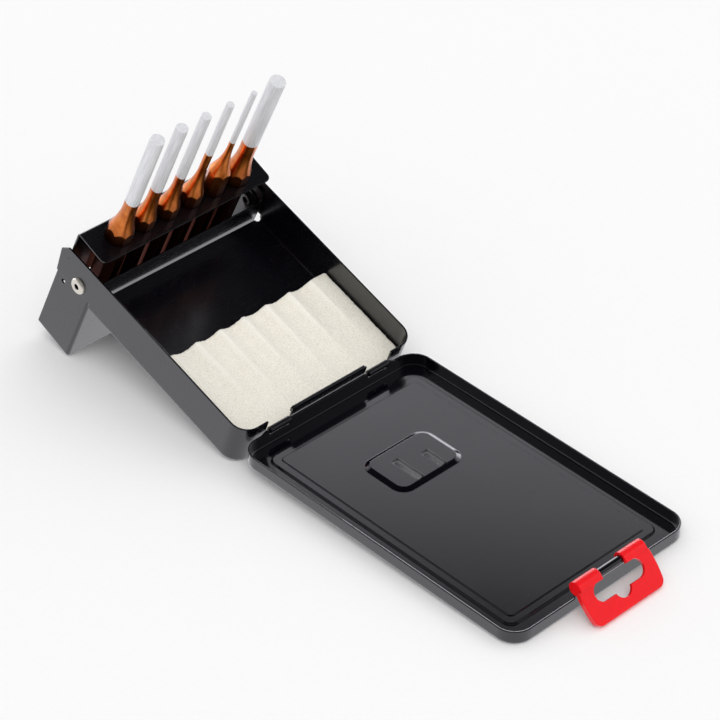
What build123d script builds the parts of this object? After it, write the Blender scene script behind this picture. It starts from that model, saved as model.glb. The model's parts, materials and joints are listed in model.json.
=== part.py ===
from build123d import *
from math import asin, atan2, cos, degrees, hypot, pi, radians, sin, sqrt
import os

os.makedirs("parts", exist_ok=True)

# A set of six parallel pin punches in a folding sheet-steel case, modelled open and standing
# as it is used on a bench: the lid lies behind the tray, and the holder has swung down under
# the tray's far end so that the punches stand upright. Millimetres and degrees.

# Sheet metal, shared by the lid, tray, holder and rack
sheet = 0.8                # thickness of the steel sheet
bend = 1.6                 # outer radius of the bends
turn_gap = 0.3             # side gap between pieces that turn inside one another
pad_gap = 0.5              # foam to the walls round it

# Lid
lid_width = 109.2
lid_length = 170.6
lid_rim = 7.0              # height of the lid's wall
lid_corner = 10.0          # outer radius of the lid's corners, seen from above
strip_height = 1.2         # the rim strip that the tongues curl round
strip_level = 7.8          # the strip's middle above the lid's outer face
strip_reach = 38.2         # half the width of the raised rim at the hinge
strip_ramp = 3.0           # run of the slope from the raised rim to the plain one
window_depth = 2.3         # height of the windows under the strip
bead_inset = 8.4           # from the lid's outline to the pressed step
bead_back = 9.1            # from the hinge side to the step
bead_front = 10.0          # from the front side to the step
bead_rise = 0.9
bead_corner = 4.8
panel_inset = 4.2          # from the step to the raised panel
panel_rise = 0.35
panel_corner = 2.4
plate_width = 40.0         # the label plateau
plate_length = 28.6
plate_centre = -55.1       # its middle, from the hinge side
plate_rise = 1.3
plate_corner = 6.8
louvre_width = 2.7
louvre_spread = 13.9       # across the two louvres
louvre_lengths = (16.4, 12.1)
louvre_front = -66.7       # front end of the two louvres
louvre_lip = 0.9           # height of the lip beside a louvre
press_angle = 40.0         # draft of the two long steps
plate_angle = 60.0         # draft of the label plateau

# Tray
tray_gap = 0.4             # between the tray's wall and the lid's wall
tray_height = 23.4
axle_drop = 6.4            # hinge axis below the tray's rim
pivot_reach = 114.0        # holder pivot from the tray's hinge end
pivot_height = 8.0         # holder pivot above the tray's outer floor
wall_reach = 15.5          # walls beyond the pivot
wall_low = 4.1             # lower edge of the walls beyond the floor
wall_chamfer = 4.2
relief_radius = 1.5        # round reliefs at the floor's end corners

# Hinge
tongue_width = 11.9
tongue_spread = 60.9       # between the middles of the two tongues
tongue_play = 0.2          # side play of a tongue in its window
curl_gap = 0.08            # between the strip's corners and the curl
curl_end = 290.0           # how far the curl wraps round the strip
notch_width = 1.6          # slots beside each tongue
notch_depth = 2.2          # slots below the hinge axis
hem_height = 3.5
hem_top = 6.1              # top of the hem above the hinge axis
hem_chamfer = 1.4
hem_round = 0.76           # radius of the fold on top of the hem
hem_rest = 0.2             # the wall's outer stretches stand this much over the hem

# Foam pad
pad_length = 58.2
pad_top = 11.1             # above the tray's outer floor
groove_radius = 4.4
pad_corner = 7.7

# Holder
holder_depth = 23.1        # from its face plate to the open side
foot_reach = 51.7          # from the pivot down to the foot
cheek_reach = 11.6         # from the pivot up to the cheeks' ends
cheek_corner = 3.9
cheek_low = 6.7            # cheeks' front edge above the face plate, before the pivot line
holder_corner = 2.4
stand_angle = 84.2         # turned from stowed to standing
stop_gap = 0.05            # face plate to the floor's end when standing
latch_radius = 13.8        # the detents, from the pivot
latch_angle = 45.0         # the tray's dimple, from the tray's length
detent_radius = 1.1
dimple_ball = 1.3          # radius of the ball that presses the dimple
dimple_rise = 0.2

# Punch rack
rack_level = 25.1          # its top above the pivot
rack_back = 12.5           # its back flange behind the pivot
rack_seat = 0.15           # its front edge to the floor when stowed
rack_trim = 0.4            # narrower than the ears on each side
rack_drop = 14.0           # its back flange below the pivot
rack_corner = 3.0
ear_radius = 6.3
ear_drop = 3.0             # its ears below the pivot
row_offset = 2.4           # the punches' row behind the pivot
row_pitch = 14.2
hole_gap = 0.3             # punch to the hole in the rack, on each side

# Rivets and washers
rivet_radius = 2.5
rivet_bore = 1.5
rivet_head = 4.15
rivet_head_height = 1.6
rivet_head_round = 1.1
rivet_tail = 3.5
rivet_tail_height = 0.8
rivet_chamfer = 0.35       # at the tail and at the bore's mouth
rivet_gap = 0.05
washer_radius = 4.6
washer_thickness = 0.6

# Punches: pin size, width across the flats, shoulder above the struck end
punch_length = 150.0
punches = (
    (7, 12.0, 80.3),
    (6, 10.0, 80.9),
    (5, 10.0, 80.9),
    (4, 10.0, 81.8),
    (3, 10.0, 88.4),
    (8, 12.0, 80.3),
)
pin_undersize = 0.1        # a pin is a little under its nominal size
neck_radius = 49.0         # the hollow grind from shoulder to pin
struck_chamfer = 1.2
tip_chamfer = 0.3
seat_gap = 0.02            # punch to the holder's foot

# Hang clip on the lid's front wall
bar_level = 14.5           # rolled bar above the lid's outer face
bar_radius = 2.1
bar_opening = 40.0         # the roll stays open by this angle
tab_width = 36.5
window_gap = 0.3
hook_radius = 3.4
hook_gap = 0.07            # running clearance on the bar
hook_inner = 7.3           # half the mouth between the hooks
hook_wrap = 70.0           # how far the hooks reach under the bar
clip_cap = 1.8             # end walls of the hooks and side walls of the clip
clip_length = 19.1
clip_bow = 1.3             # the sides bulge outwards by this
clip_corner = 3.9
clip_face = 3.0            # outer face of the plate from the bar's axis
clip_thick = 1.5
clip_edge = 0.45           # rounding of the plate's outer edges
clip_rim = 2.8             # depth of the clip's side walls
clip_step = 2.2            # where the hooks step down to the plate
slot_half = 14.9           # hang hole: half the slot's length
slot_radius = 4.25
slot_top = 2.3
hang_radius = 4.8
hang_centre = 9.6


def block(width, length, height, corner, edge):
    """A round-cornered block along +Y from the origin, with its lower edges rounded."""
    body = extrude(Pos(0, length / 2) * RectangleRounded(width, length, corner), height)
    return fillet(body.edges().group_by(Axis.Z)[0], edge)


def tub(width, length, height, corner):
    """An open tub of folded sheet."""
    inside = block(width - 2 * sheet, length - 2 * sheet, height, corner - sheet, bend - sheet)
    return block(width, length, height, corner, bend) - Pos(0, sheet, sheet) * inside


def bar_x(radius, length):
    """A round bar along X, centred."""
    return Rot(Y=90) * Cylinder(radius, length)


def span_x(profile, width):
    """A profile drawn in the YZ plane, made into a solid of this width about X = 0."""
    return extrude(Plane.YZ * profile, width / 2, both=True)


def folded(body, radius):
    """Rounds the edge along X that is uppermost and nearest, as a fold in the sheet is."""
    return fillet(body.edges().filter_by(Axis.X).group_by(Axis.Z)[-1].sort_by(Axis.Y)[0], radius)


def both_sides(shape):
    return shape + mirror(shape, about=Plane.YZ)


def one(shape):
    """The shape as a single solid."""
    return shape.solids().sort_by(SortBy.VOLUME)[-1]


# Sizes that follow
tray_width = lid_width - 2 * sheet - 2 * tray_gap
tray_corner = lid_corner - sheet - tray_gap
tray_reach = pivot_reach + wall_reach
axle_level = tray_height - axle_drop
curl_inner = hypot(sheet, strip_height) / 2 + curl_gap
axle_out = curl_inner
floor_end = pivot_reach - pivot_height / sin(radians(stand_angle)) - stop_gap
holder_width = tray_width - 2 * sheet - 2 * turn_gap
face_edge = hypot(pivot_reach - floor_end - stop_gap, pivot_height - sheet)
face_reach = sqrt(face_edge ** 2 - pivot_height ** 2) - turn_gap
ear_face = holder_width / 2 - sheet
rack_front = rack_seat + sheet - pivot_height
seat_level = foot_reach - sheet - seat_gap
window_level = strip_level - (strip_height + window_depth) / 2
bar_out = sheet - lid_length - bar_radius
grip = 3 * sheet + turn_gap      # tray wall, cheek and ear between a rivet's head and its washer
row = [(i - (len(punches) - 1) / 2) * row_pitch for i in range(len(punches))]


# ---- Lid, with its origin at the hinge side's lower outer edge; it runs along -Y
def lid():
    body = Pos(0, -lid_length) * tub(lid_width, lid_length, lid_rim, lid_corner)
    panel_edge = bead_inset + panel_inset
    level = 0
    for width, back, front, corner, rise, draft in (
        (
            lid_width - 2 * bead_inset,
            bead_back,
            lid_length - bead_front,
            bead_corner,
            bead_rise,
            press_angle,
        ),
        (
            lid_width - 2 * panel_edge,
            bead_back + panel_inset,
            lid_length - bead_front - panel_inset,
            panel_corner,
            panel_rise,
            press_angle,
        ),
        (
            plate_width,
            -plate_centre - plate_length / 2,
            -plate_centre + plate_length / 2,
            plate_corner,
            plate_rise,
            plate_angle,
        ),
    ):
        outline = Pos(0, -(back + front) / 2) * RectangleRounded(width, front - back, corner)
        step = extrude(outline, rise, taper=draft)
        body = body + Pos(0, 0, level + sheet) * step - Pos(0, 0, level) * step
        level += rise
    for side, length in zip((-1, 1), louvre_lengths):
        middle = Pos(side * louvre_spread / 2, louvre_front + length / 2, level + sheet / 2)
        lip = Box(sheet, length, louvre_lip)
        body += middle * Pos((louvre_width + sheet) / 2, 0, (louvre_lip + sheet) / 2) * lip
        body -= middle * Box(louvre_width, length, 2 * sheet)
    body += rear_rim()
    window = Box(tongue_width + 2 * tongue_play, 2 * sheet, window_depth)
    body -= both_sides(Pos(tongue_spread / 2, -sheet / 2, window_level) * window)
    return one(body + front_tab())


def rear_rim():
    """The raised rim over the middle of the hinge side."""
    top = strip_level + strip_height / 2
    outline = Polygon(
        (-strip_reach - strip_ramp, lid_rim - sheet),
        (-strip_reach - strip_ramp, lid_rim),
        (-strip_reach, top),
        (strip_reach, top),
        (strip_reach + strip_ramp, lid_rim),
        (strip_reach + strip_ramp, lid_rim - sheet),
        align=None,
    )
    return extrude(Plane.XZ * outline, sheet, dir=(0, -1, 0))


def front_tab():
    """The tab that rises from the front wall and rolls outwards into a bar."""
    foot = lid_rim - sheet
    tab = Box(tab_width, sheet, bar_level - foot)
    tab = Pos(0, sheet / 2 - lid_length, (foot + bar_level) / 2) * tab
    bar = Pos(0, bar_out, bar_level)
    reach = hook_radius + window_gap
    inner = hook_inner - window_gap
    window = Box(tab_width / 2 - inner, 4 * reach, reach)
    tab -= bar * both_sides(Pos((tab_width / 2 + inner) / 2, 0, -reach / 2) * window)
    far = 3 * bar_radius
    gap = Polygon((0, 0), (far, 0), (far, -far * sin(radians(bar_opening))), align=None)
    roll = span_x(Circle(bar_radius) - Circle(bar_radius - sheet) - gap, tab_width)
    join = Pos(0, bar_radius - sheet / 2, -bar_radius / 4) * Box(2 * inner, sheet, bar_radius / 2)
    return tab + bar * (roll + join)


# ---- Tray, with its origin at the hinge end's lower outer edge; it runs along +Y
def tray():
    beyond = 2 * tray_corner
    body = tub(tray_width, tray_reach + beyond, tray_height, tray_corner)
    body -= Pos(0, tray_reach + beyond) * Box(2 * tray_width, 2 * beyond, 4 * tray_height)
    under = folded(Box(2 * tray_width, 2 * (tray_reach - floor_end), 2 * wall_low), bend)
    body -= Pos(0, tray_reach) * under
    corner = Polygon((0, 0), (-wall_chamfer, 0), (0, -wall_chamfer), align=None)
    body -= Pos(0, tray_reach, tray_height) * span_x(corner, 2 * tray_width)
    relief = Cylinder(relief_radius, 2 * wall_low)
    body -= both_sides(Pos(tray_width / 2 - relief_radius, floor_end) * relief)
    axis = Pos(0, pivot_reach, pivot_height)
    body -= axis * bar_x(rivet_radius + rivet_gap, 2 * tray_width)
    swing = radians(latch_angle)
    spot = axis * Pos(0, latch_radius * cos(swing), latch_radius * sin(swing))
    sunk = dimple_ball - dimple_rise
    inner = tray_width / 2 - sheet
    bump = Pos(inner + sunk) * Sphere(dimple_ball)
    bump &= Pos(inner - dimple_ball) * Box(2 * dimple_ball, 2 * dimple_ball, 2 * dimple_ball)
    hollow = Pos(tray_width / 2 + sunk) * Sphere(dimple_ball)
    body = body + spot * both_sides(bump) - spot * both_sides(hollow)
    return one(end_wall(body))


def end_wall(body):
    """The hinge end: a hemmed wall between two tongues that curl round the lid's strip."""
    low = axle_level - notch_depth
    slot = tongue_width + 2 * notch_width
    notch = Pos(tongue_spread / 2, 0, low + tray_height / 2) * Box(slot, 4 * sheet, tray_height)
    body -= both_sides(notch)
    between = tongue_spread - slot
    top = axle_level + hem_top
    wall = Box(between, 2 * sheet, tray_height)
    body -= Pos(0, sheet, top - sheet + tray_height / 2) * wall
    outer = Box(tray_width - 2 * tray_corner, 4 * sheet, tray_height)
    body -= Pos(0, 0, top + hem_rest + tray_height / 2) * outer
    hem = Pos(0, sheet, top - hem_height / 2) * Box(between, 2 * sheet, hem_height)
    hem = fillet(hem.edges().filter_by(Axis.X).group_by(Axis.Z)[-1], hem_round)
    slant = Polygon((0, 0), (-hem_chamfer, 0), (0, -hem_chamfer), align=None)
    slant = Pos(between / 2, 0, top) * extrude(Plane.XZ * slant, 3 * sheet, both=True)
    body += hem - both_sides(slant)
    return body + both_sides(Pos(tongue_spread / 2) * tongue(low))


def tongue(low):
    """One tongue: it rises from the end wall and curls round the lid's strip."""
    far = 3 * curl_inner
    cut = radians(curl_end)
    gap = Polygon((0, 0), (far * cos(cut), far * sin(cut)), (far, -far), (far, 0), align=None)
    curl = span_x(Circle(curl_inner + sheet) - Circle(curl_inner) - gap, tongue_width)
    stem = Box(tongue_width, sheet, axle_level - low)
    return Pos(0, -axle_out, axle_level) * curl + Pos(0, sheet / 2, (low + axle_level) / 2) * stem


# ---- Foam pad, in the tray's frame
def foam_pad():
    width = tray_width - 2 * sheet - 2 * pad_gap
    far = 2 * pad_length
    outline = Pos(0, far / 2) * RectangleRounded(width, far, pad_corner)
    outline &= Pos(0, pad_length / 2) * Rectangle(2 * width, pad_length)
    pad = extrude(outline, pad_top - sheet)
    pad = fillet(pad.edges().group_by(Axis.Z)[0], bend - sheet)
    pad = Pos(0, sheet + pad_gap, sheet) * pad
    tip = pivot_reach + seat_level - punch_length
    groove = Rot(X=-90) * Cylinder(groove_radius, far, align=(Align.CENTER, Align.CENTER, Align.MIN))
    groove += Sphere(groove_radius)
    for x in row:
        pad -= Pos(x, tip, pivot_height + row_offset) * groove
    return one(pad)


# ---- Holder: its frame has the pivot at the origin, stowed, with the foot along +Y
def holder_box():
    beyond = 2 * holder_corner
    body = tub(holder_width, foot_reach + cheek_reach + beyond, holder_depth, holder_corner)
    body = Pos(0, foot_reach, -pivot_height) * Rot(Z=180) * body
    body -= Pos(0, -cheek_reach - beyond) * Box(2 * holder_width, 2 * beyond, 4 * holder_depth)
    short = Box(2 * holder_width, 2 * (cheek_reach - face_reach), 2 * (pivot_height - cheek_low))
    body -= Pos(0, -cheek_reach, -pivot_height) * short
    square = Pos(cheek_corner / 2, -cheek_corner / 2) * Rectangle(cheek_corner, cheek_corner)
    waste = square - Pos(cheek_corner, -cheek_corner) * Circle(cheek_corner)
    for level, turn in ((holder_depth - pivot_height, 0), (-cheek_low, 90)):
        body -= Pos(0, -cheek_reach, level) * span_x(Rot(Z=turn) * waste, 2 * holder_width)
    body -= bar_x(rivet_radius + rivet_gap, 2 * holder_width)
    for turn in (latch_angle, latch_angle + stand_angle):
        swing = radians(turn)
        hole = Pos(0, latch_radius * cos(swing), latch_radius * sin(swing))
        body -= hole * bar_x(detent_radius + dimple_rise, 2 * holder_width)
    return one(body)


def octagon(flats):
    """An octagon with flats square to the rack."""
    return RegularPolygon(flats / 2, side_count=8, major_radius=False, rotation=180 / 8)


def punch_rack():
    """A folded bracket: a shelf with six holes, a back flange and two ears for the rivets."""
    length = rack_level + rack_drop
    depth = rack_back - rack_front
    body = folded(Box(2 * ear_face, length, depth), bend)
    hollow = folded(Box(4 * ear_face, length, depth), bend - sheet)
    middle = ((rack_drop - rack_level) / 2, (rack_back + rack_front) / 2)
    body = Pos(0, *middle) * (body - Pos(0, sheet, -sheet) * hollow)
    trim = Box(2 * rack_trim, 2 * (rack_level - ear_radius), 4 * rack_back)
    body -= both_sides(Pos(ear_face, -rack_level) * trim)
    trim = Box(2 * rack_trim, 2 * (rack_drop - ear_drop), 4 * rack_back)
    body -= both_sides(Pos(ear_face, rack_drop) * trim)
    corners = body.edges().filter_by(Axis.Y).group_by(Axis.Z)[0].sort_by(Axis.X)
    body = fillet([corners[0], corners[-1]], rack_corner)
    web = Pos((ear_drop - ear_radius) / 2, rack_back / 2) * Rectangle(ear_drop + ear_radius, rack_back)
    ear = Circle(ear_radius) + web - Circle(rivet_radius + rivet_gap)
    body += both_sides(Pos(ear_face - sheet) * extrude(Plane.YZ * ear, sheet))
    for x, (pin, flats, shoulder) in zip(row, punches):
        hole = extrude(octagon(flats + 2 * hole_gap), sheet, both=True)
        body -= Pos(x, -rack_level, row_offset) * Rot(X=90) * hole
    return one(body)


def rivet():
    """A tubular rivet along +Z, with its head's underside on the tray's wall at Z = 0."""
    inner = grip + washer_thickness
    head = Pos(0, 0, rivet_head_height / 2) * Cylinder(rivet_head, rivet_head_height)
    head = fillet(head.edges().group_by(Axis.Z)[-1], rivet_head_round)
    tail = Pos(0, 0, -inner - rivet_tail_height / 2) * Cylinder(rivet_tail, rivet_tail_height)
    tail = chamfer(tail.edges().group_by(Axis.Z)[0], rivet_chamfer)
    shape = head + tail + Pos(0, 0, -inner / 2) * Cylinder(rivet_radius, inner)
    shape -= Cylinder(rivet_bore, 4 * (inner + rivet_head_height))
    mouth = shape.edges().filter_by(GeomType.CIRCLE).group_by(Axis.Z)[-1].sort_by(SortBy.RADIUS)[0]
    return one(chamfer(mouth, rivet_chamfer))


def washer():
    ring = Circle(washer_radius) - Circle(rivet_radius + rivet_gap)
    return Pos(0, 0, -grip - washer_thickness) * extrude(ring, washer_thickness)


def punch(pin, flats, shoulder):
    """A punch standing on its struck end, octagonal stock hollow-ground down to a round pin."""
    corner = flats / 2 / cos(pi / 8)
    thin = (pin - pin_undersize) / 2
    drop = corner - thin
    neck = sqrt(2 * neck_radius * drop - drop ** 2)
    half = asin(neck / neck_radius) / 2
    hollow = ThreePointArc(
        (corner, shoulder),
        (thin + neck_radius * (1 - cos(half)), shoulder + neck - neck_radius * sin(half)),
        (thin, shoulder + neck),
    )
    pin_side = Polyline(
        (thin, shoulder + neck),
        (thin, punch_length - tip_chamfer),
        (thin - tip_chamfer, punch_length),
        (0, punch_length),
        (0, 0),
        (flats / 2 - struck_chamfer, 0),
        (corner, corner - flats / 2 + struck_chamfer),
        (corner, shoulder),
    )
    turned = revolve(Plane.XZ * make_face(hollow + pin_side), Axis.Z)
    return one(extrude(octagon(flats), punch_length) & turned)


# ---- Hang clip: its frame has the bar's axis along X, the plate along -Y and its face up
def latch_clip():
    top = tab_width / 2 + window_gap + clip_cap
    bulge = (top + clip_bow, -clip_length / 3)
    outline = make_face(
        [
            Line((top, hook_radius), (-top, hook_radius)),
            ThreePointArc((-top, hook_radius), (-bulge[0], bulge[1]), (-top, -clip_length)),
            Line((-top, -clip_length), (top, -clip_length)),
            ThreePointArc((top, -clip_length), bulge, (top, hook_radius)),
        ]
    )
    outline = fillet(outline.vertices().group_by(Axis.Y)[0], clip_corner)
    field = offset(outline, -clip_cap)
    low = clip_face - clip_rim
    body = Pos(0, 0, low) * extrude(outline, clip_rim)
    body -= Pos(0, 0, low - sheet) * extrude(field, clip_rim - clip_thick + sheet)
    body = fillet(body.faces().sort_by(Axis.Z)[-1].edges(), clip_edge)
    above = hook_radius + clip_thick
    body -= Pos(0, above - clip_step) * Box(4 * top, 2 * above, 4 * clip_face)
    body += both_sides(hook(top))
    centre = -slot_top - slot_radius
    opening = Pos(0, centre) * SlotOverall(2 * slot_half, 2 * slot_radius)
    opening += Pos(0, -hang_centre) * Circle(hang_radius)
    mouth = Rectangle(2 * hook_inner, 2 * (hook_radius + slot_radius))
    opening += Pos(0, centre + hook_radius) * mouth
    return one(body - extrude(opening, 4 * clip_face, both=True))


def hook(top):
    """One hook: a C round the bar with its outer end closed."""
    bar = Circle(bar_radius + hook_gap)
    under = clip_face - clip_thick
    far = 3 * hook_radius
    wrap = radians(-hook_wrap)
    mouth = Polygon(
        (0, 0),
        (far * cos(wrap), far * sin(wrap)),
        (-far, -far),
        (-far, under),
        (0, under),
        align=None,
    )
    crown = Pos(-clip_step / 2, (hook_radius + under) / 2) * Rectangle(clip_step, hook_radius - under)
    section = (Circle(hook_radius) - bar - mouth) + (crown - bar)
    span = top - clip_cap - hook_inner
    curl = Pos(hook_inner) * extrude(Plane.YZ * section, span)
    cap = extrude(Plane.YZ * (Circle(hook_radius) + crown), clip_cap)
    return curl + Pos(top - clip_cap) * cap


# ---- How the case stands: the tray's lower corner and the holder's foot are on the bench,
# and so is the lid's front edge
stand = radians(180 - stand_angle)
foot_out = -foot_reach + bend
foot_in = -pivot_height + bend
foot_y = pivot_reach + foot_out * cos(stand) + foot_in * sin(stand)
foot_z = pivot_height + foot_out * sin(stand) - foot_in * cos(stand)
tray_tilt = -atan2(foot_z - bend, foot_y - bend)
axle_height = -sin(tray_tilt) * (axle_out + bend) + cos(tray_tilt) * (axle_level - bend) + bend
lid_run = lid_length - sheet / 2 - bend
lid_fall = strip_level - bend
lid_tilt = asin((axle_height - bend) / hypot(lid_run, lid_fall)) - atan2(lid_fall, lid_run)

axle = Pos(0, 0, axle_height)
lid_place = axle * Rot(X=degrees(lid_tilt)) * Pos(0, sheet / 2, -strip_level)
tray_place = axle * Rot(X=degrees(tray_tilt)) * Pos(0, axle_out, -axle_level)
holder_place = tray_place * Pos(0, pivot_reach, pivot_height) * Rot(X=-stand_angle)
bar_height = (lid_place * Pos(0, bar_out, bar_level)).position.Z
clip_toe = clip_face - clip_rim
clip_angle = asin(bar_height / hypot(clip_length, clip_toe)) + atan2(clip_toe, clip_length)
clip_place = lid_place * Pos(0, bar_out, bar_level) * Rot(X=degrees(clip_angle - lid_tilt))

nodes = {
    "tray": tray_place * tray(),
    "foam_pad": tray_place * foam_pad(),
    "lid": lid_place * lid(),
    "latch_clip": clip_place * latch_clip(),
    "holder_box": holder_place * holder_box(),
    "punch_rack": holder_place * punch_rack(),
}
for name, side in (("left", -1), ("right", 1)):
    seat = tray_place * Pos(side * tray_width / 2, pivot_reach, pivot_height) * Rot(Y=side * 90)
    nodes["rivet_" + name] = seat * rivet()
    nodes["washer_" + name] = seat * washer()
for x, (pin, flats, shoulder) in zip(row, punches):
    seat = holder_place * Pos(x, seat_level, row_offset) * Rot(X=90)
    nodes[f"punch_{pin}mm"] = seat * punch(pin, flats, shoulder)

# The origin is on the bench under the middle of the whole
boxes = [shape.bounding_box() for shape in nodes.values()]
middle = (min(b.min.Y for b in boxes) + max(b.max.Y for b in boxes)) / 2
centre = Pos(0, -middle)
for name, shape in nodes.items():
    export_step(centre * shape, f"parts/{name}.step")
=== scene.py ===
import json
import math
import bpy
from mathutils import Euler, Matrix, Vector


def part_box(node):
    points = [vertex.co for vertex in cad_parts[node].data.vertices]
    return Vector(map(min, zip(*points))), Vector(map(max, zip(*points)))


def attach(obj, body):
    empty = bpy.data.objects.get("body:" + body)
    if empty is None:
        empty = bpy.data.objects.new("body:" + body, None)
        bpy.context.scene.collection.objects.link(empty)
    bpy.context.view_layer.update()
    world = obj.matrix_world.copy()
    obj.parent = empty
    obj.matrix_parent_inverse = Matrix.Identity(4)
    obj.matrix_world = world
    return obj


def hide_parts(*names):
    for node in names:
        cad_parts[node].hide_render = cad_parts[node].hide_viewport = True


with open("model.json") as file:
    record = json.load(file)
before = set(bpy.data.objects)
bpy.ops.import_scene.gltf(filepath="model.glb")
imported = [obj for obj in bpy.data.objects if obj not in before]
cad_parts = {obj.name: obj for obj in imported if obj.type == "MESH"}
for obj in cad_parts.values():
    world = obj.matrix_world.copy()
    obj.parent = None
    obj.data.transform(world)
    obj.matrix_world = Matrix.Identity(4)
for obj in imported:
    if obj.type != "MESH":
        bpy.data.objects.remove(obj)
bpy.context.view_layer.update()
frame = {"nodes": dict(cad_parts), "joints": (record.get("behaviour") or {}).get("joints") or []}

mm = 0.001             # lengths are in metres
edgeSamples = 6        # rays that a shader spends on a rounded edge


def linear(hexColour):
    channels = [int(hexColour[i:i + 2], 16) / 255 for i in (1, 3, 5)]
    return tuple(c / 12.92 if c <= 0.04045 else ((c + 0.055) / 1.055) ** 2.4 for c in channels) + (1.0,)


def addNode(tree, kind, sockets=None, items=2, **settings):
    # a node with its settings and links; a socket goes by its name or its place and takes a value,
    # another socket or a node, which stands for its first live output; a switch picks from so many items
    node = tree.nodes.new(kind)
    for key, value in settings.items():
        setattr(node, key, value)
    for _ in range(2, items):        # a new switch has two
        node.index_switch_items.new()
    for key, value in (sockets or {}).items():
        live = [socket for socket in node.inputs if socket.enabled]
        target = node.inputs[key] if isinstance(key, int) else next(s for s in live if s.name == key)
        if isinstance(value, bpy.types.Node):
            value = next(socket for socket in value.outputs if socket.enabled)
        if isinstance(value, bpy.types.NodeSocket):
            tree.links.new(value, target)
        else:
            target.default_value = value
    return node


def newMaterial(name):
    material = bpy.data.materials.new(name)
    material.use_nodes = True
    material.node_tree.nodes.clear()
    return material, material.node_tree


def newTree(name, sizes):
    # a geometry tree that has each size as a named input
    tree = bpy.data.node_groups.new(name, "GeometryNodeTree")
    kinds = {int: "NodeSocketInt", float: "NodeSocketFloat", tuple: "NodeSocketVector"}
    for key, value in sizes.items():
        socket = tree.interface.new_socket(key, in_out="INPUT", socket_type=kinds[type(value)])
        socket.default_value = value
    tree.interface.new_socket("Geometry", in_out="OUTPUT", socket_type="NodeSocketGeometry")
    return tree, addNode(tree, "NodeGroupInput").outputs


def grown(name, tree, sizes):
    # runs a tree once and keeps what it makes as a plain mesh
    seed = bpy.data.objects.new(name + "Seed", bpy.data.meshes.new(name + "Seed"))
    bpy.context.scene.collection.objects.link(seed)
    modifier = seed.modifiers.new(name, "NODES")
    modifier.node_group = tree
    for item in tree.interface.items_tree:
        if item.in_out == "INPUT" and item.name in sizes:
            modifier[item.identifier] = sizes[item.name]
    bpy.context.view_layer.update()
    mesh = bpy.data.meshes.new_from_object(seed.evaluated_get(bpy.context.evaluated_depsgraph_get()))
    bpy.data.objects.remove(seed)
    mesh.name = name
    piece = bpy.data.objects.new(name, mesh)
    bpy.context.scene.collection.objects.link(piece)
    return piece


camera = dict(
    azimuth=-42.604, elevation=35.467, roll=-1.584,        # in degrees
    lens=148.64, sensor=36.0, nearest=0.01, distance=1.350, aim=(0.0170, 0.0165, 0.0280),
)


def placeCamera():
    lens = bpy.data.cameras.new("benchCamera")
    lens.lens = camera["lens"]
    lens.sensor_width = camera["sensor"]
    lens.clip_start = camera["nearest"]
    eye = bpy.data.objects.new("benchCamera", lens)
    bpy.context.scene.collection.objects.link(eye)
    turn = Euler((math.radians(90 - camera["elevation"]), 0, math.radians(camera["azimuth"]))).to_matrix()
    turn = turn @ Matrix.Rotation(math.radians(camera["roll"]), 3, "Z")
    place = Vector(camera["aim"]) + turn @ Vector((0, 0, camera["distance"]))
    eye.matrix_world = Matrix.Translation(place) @ turn.to_4x4()
    bpy.context.scene.camera = eye


paper = dict(
    half=4.0, pale="#f8f8f8", dull="#f5f5f5", fibre=2.5 * mm,
    mirrored="#fafaff", mirroredLevel=0.92,        # what gloss shows of it
)


def buildFloor():
    # matt white studio paper: no gloss at all and a mottle that the eye barely sees; what is glossy
    # mirrors it evenly white
    material, tree = newMaterial("studioPaper")
    place = addNode(tree, "ShaderNodeTexCoord").outputs["Object"]
    mottle = addNode(tree, "ShaderNodeTexNoise", {
        "Vector": place, "Scale": 1 / paper["fibre"], "Detail": 3.0,
    })
    tone = addNode(tree, "ShaderNodeMix", {
        "Factor": mottle, "A": linear(paper["pale"]), "B": linear(paper["dull"]),
    }, data_type="RGBA")
    matt = addNode(tree, "ShaderNodeBsdfDiffuse", {"Color": tone})
    even = addNode(tree, "ShaderNodeEmission", {
        "Color": linear(paper["mirrored"]), "Strength": paper["mirroredLevel"],
    })
    path = addNode(tree, "ShaderNodeLightPath").outputs
    seen = addNode(tree, "ShaderNodeMixShader", {"Fac": path["Is Glossy Ray"], 1: matt, 2: even})
    addNode(tree, "ShaderNodeOutputMaterial", {"Surface": seen})
    half = paper["half"]
    corners = [(-half, -half, 0), (half, -half, 0), (half, half, 0), (-half, half, 0)]
    mesh = bpy.data.meshes.new("floor")
    mesh.from_pydata(corners, [], [(0, 1, 2, 3)])
    mesh.materials.append(material)
    floor = bpy.data.objects.new("floor", mesh)
    bpy.context.scene.collection.objects.link(floor)


light = dict(        # heights in the room are sines of the elevation
    ambient=0.66,                              # what the white room gives from all round
    white="#ffffff", shown="#f8f8ff",          # the room, and what gloss shows of it
    wallTop=0.635, ceiling=0.715,              # white up to here, and dark from here on
    wallLevel=1.15, ceilingLevel=0.03,
    whiteSide=(0.60, 0.78, 0.0),               # the way to the white wall, across from the room's open side
    darkFrom=-0.55, whiteFrom=0.35, darkSide=0.12,
    windowFull=0.40, windowTop=0.52,           # a bright low band in the white wall, for bent edges only
    windowSide=0.35, windowMiddle=0.65, windowLevel=2.2,
    key=dict(power=1.15, softness=40, aim=(0.60, 0.62, -1.10)),
    fill=dict(power=0.35, softness=60, aim=(-0.60, 0.30, -1.20)),
)


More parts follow.
